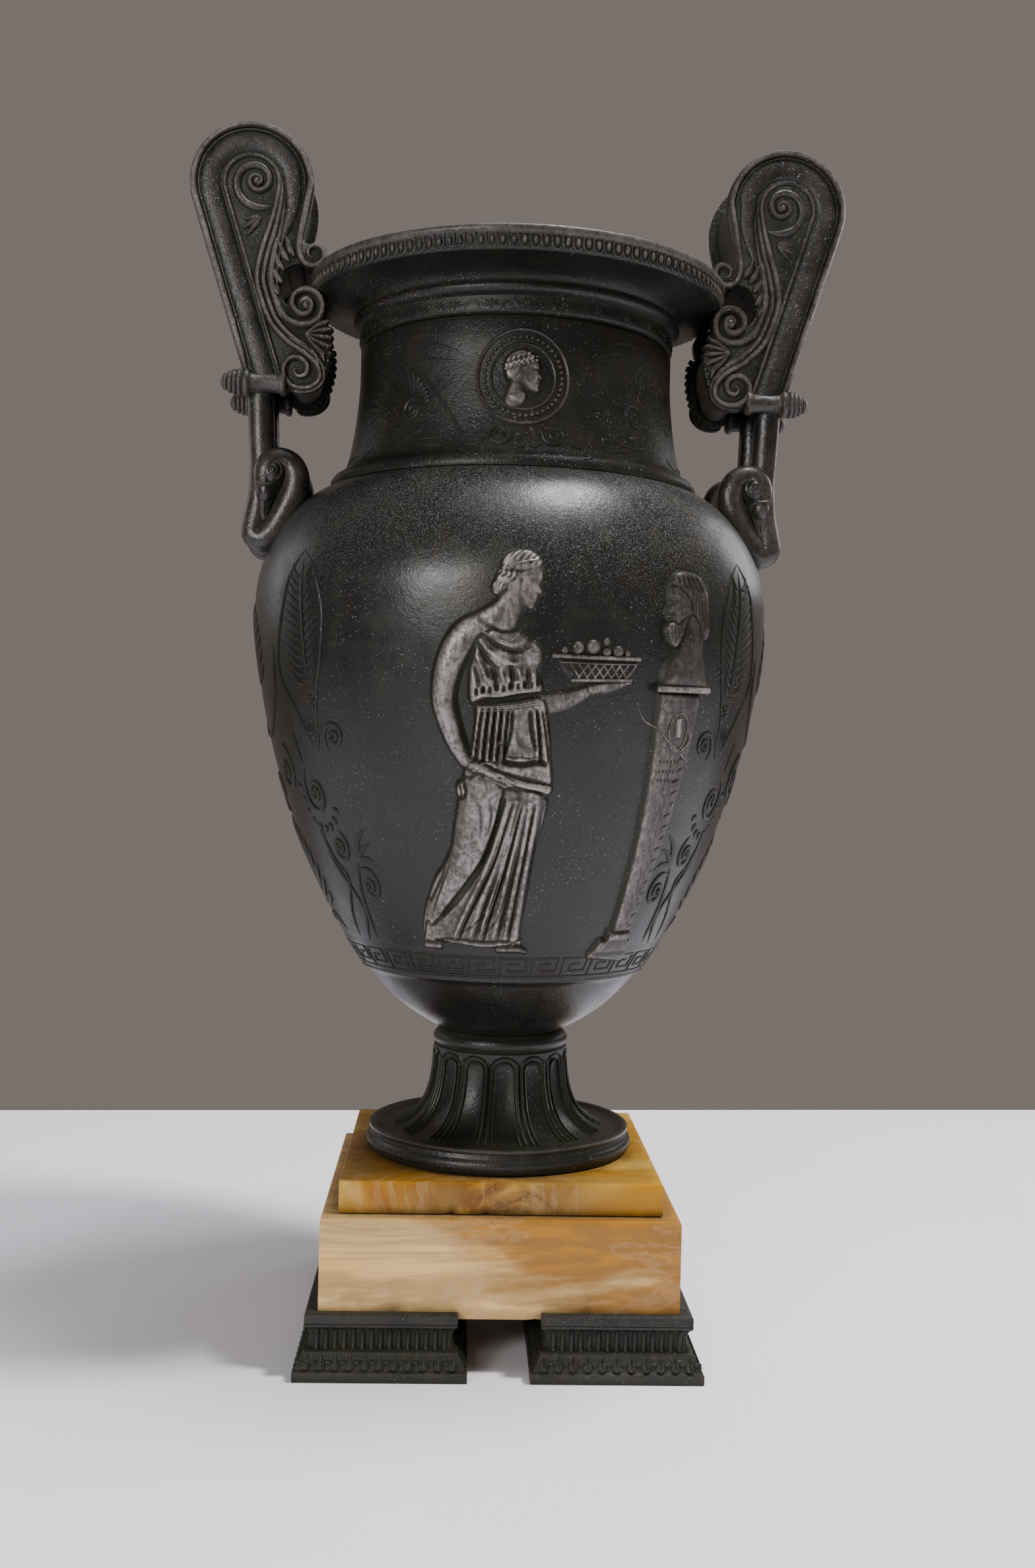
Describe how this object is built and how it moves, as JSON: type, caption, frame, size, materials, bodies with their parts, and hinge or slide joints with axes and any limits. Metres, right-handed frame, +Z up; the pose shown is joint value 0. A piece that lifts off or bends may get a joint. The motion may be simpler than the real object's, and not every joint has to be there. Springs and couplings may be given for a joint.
{
  "type": "bronze volute krater on a marble plinth",
  "caption": "Tall cast-bronze volute krater with a hollow belly and flaring neck, scroll handles on swan-neck stems, raised figures, and a stepped yellow marble plinth on bronze corner feet.",
  "frame": {"origin": "on the surface it stands on, under the middle of the plinth and of the vase", "axes": "+Z up along the vase's axis, +X towards the right-hand handle (2.5 degrees off it), -Y towards the front with the figures"},
  "size_m": [0.232, 0.1878, 0.4197],
  "materials": {
    "bronze": "cast bronze under a dark green-brown patina, rubbed lighter on the raised figures and beads",
    "marble_slab": "polished golden-yellow marble with brown veins",
    "marble_block": "polished cream and golden marble with lengthwise streaks"
  },
  "bodies": {
    "root": {"belly": "bronze", "neck": "bronze", "pedestal": "bronze", "handle_left": "bronze", "handle_right": "bronze", "marble_slab": "marble_slab", "marble_block": "marble_block", "foot_front_left": "bronze", "foot_front_right": "bronze", "foot_back_left": "bronze", "foot_back_right": "bronze"}
  },
  "joints": []
}
